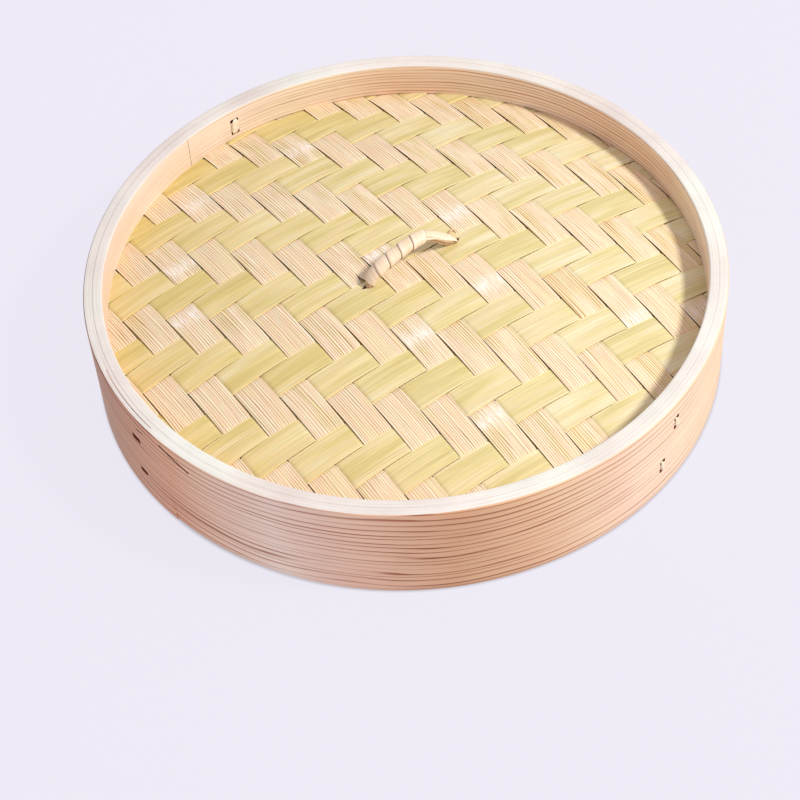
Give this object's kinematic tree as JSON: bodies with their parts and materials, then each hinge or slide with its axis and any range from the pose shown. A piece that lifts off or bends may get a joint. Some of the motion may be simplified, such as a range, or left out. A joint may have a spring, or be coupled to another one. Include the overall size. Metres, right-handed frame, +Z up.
{
  "type": "bamboo steamer lid",
  "caption": "Round bamboo steamer lid: bent-wood hoops grip a domed twill mat of bamboo strips, with a small wrapped loop handle and a skirt that fits over a steamer's collar.",
  "frame": {"origin": "centre of the lid's bottom edge", "axes": "+Z up through the crown of the mat; the mat's greenish strips run 32.6 degrees from +X, and so does the handle"},
  "size_m": [0.28, 0.28, 0.062],
  "materials": {
    "outer_hoop": "planed, unvarnished cedar",
    "inner_hoop": "planed, unvarnished cedar",
    "warp_strip": "split bamboo, fibrous inner face",
    "weft_strip": "split bamboo, smooth outer skin",
    "rib": "split bamboo",
    "handle_strand": "split bamboo",
    "handle_wrap": "split bamboo strip, smooth",
    "stitch": "split bamboo strand"
  },
  "bodies": {
    "lid": {"outer_hoop": "outer_hoop", "upper_inner_hoop": "inner_hoop", "lower_inner_hoop": "inner_hoop", "warp_strip_01": "warp_strip", "warp_strip_02": "warp_strip", "warp_strip_03": "warp_strip", "warp_strip_04": "warp_strip", "warp_strip_05": "warp_strip", "warp_strip_06": "warp_strip", "warp_strip_07": "warp_strip", "warp_strip_08": "warp_strip", "warp_strip_09": "warp_strip", "warp_strip_10": "warp_strip", "warp_strip_11": "warp_strip", "warp_strip_12": "warp_strip", "warp_strip_13": "warp_strip", "warp_strip_14": "warp_strip", "warp_strip_15": "warp_strip", "warp_strip_16": "warp_strip", "warp_strip_17": "warp_strip", "warp_strip_18": "warp_strip", "warp_strip_19": "warp_strip", "warp_strip_20": "warp_strip", "weft_strip_01": "weft_strip", "weft_strip_02": "weft_strip", "weft_strip_03": "weft_strip", "weft_strip_04": "weft_strip", "weft_strip_05": "weft_strip", "weft_strip_06": "weft_strip", "weft_strip_07": "weft_strip", "weft_strip_08": "weft_strip", "weft_strip_09": "weft_strip", "weft_strip_10": "weft_strip", "weft_strip_11": "weft_strip", "weft_strip_12": "weft_strip", "weft_strip_13": "weft_strip", "weft_strip_14": "weft_strip", "weft_strip_15": "weft_strip", "weft_strip_16": "weft_strip", "weft_strip_17": "weft_strip", "weft_strip_18": "weft_strip", "weft_strip_19": "weft_strip", "weft_strip_20": "weft_strip", "rib_left": "rib", "rib_right": "rib", "rim_stitch_left_upper": "stitch", "rim_stitch_left_lower": "stitch", "rim_stitch_right_upper": "stitch", "rim_stitch_right_lower": "stitch", "inner_stitch": "stitch"},
    "handle": {"handle_core": "handle_strand", "handle_wrap": "handle_wrap"}
  },
  "joints": [
    {"name": "handle_rock", "type": "hinge", "parent": "lid", "child": "handle", "pos_m": [0.00342, 0.00171, 0.0463], "axis": [0.8425, 0.5388, 0], "range_deg": [-15, 15]}
  ]
}
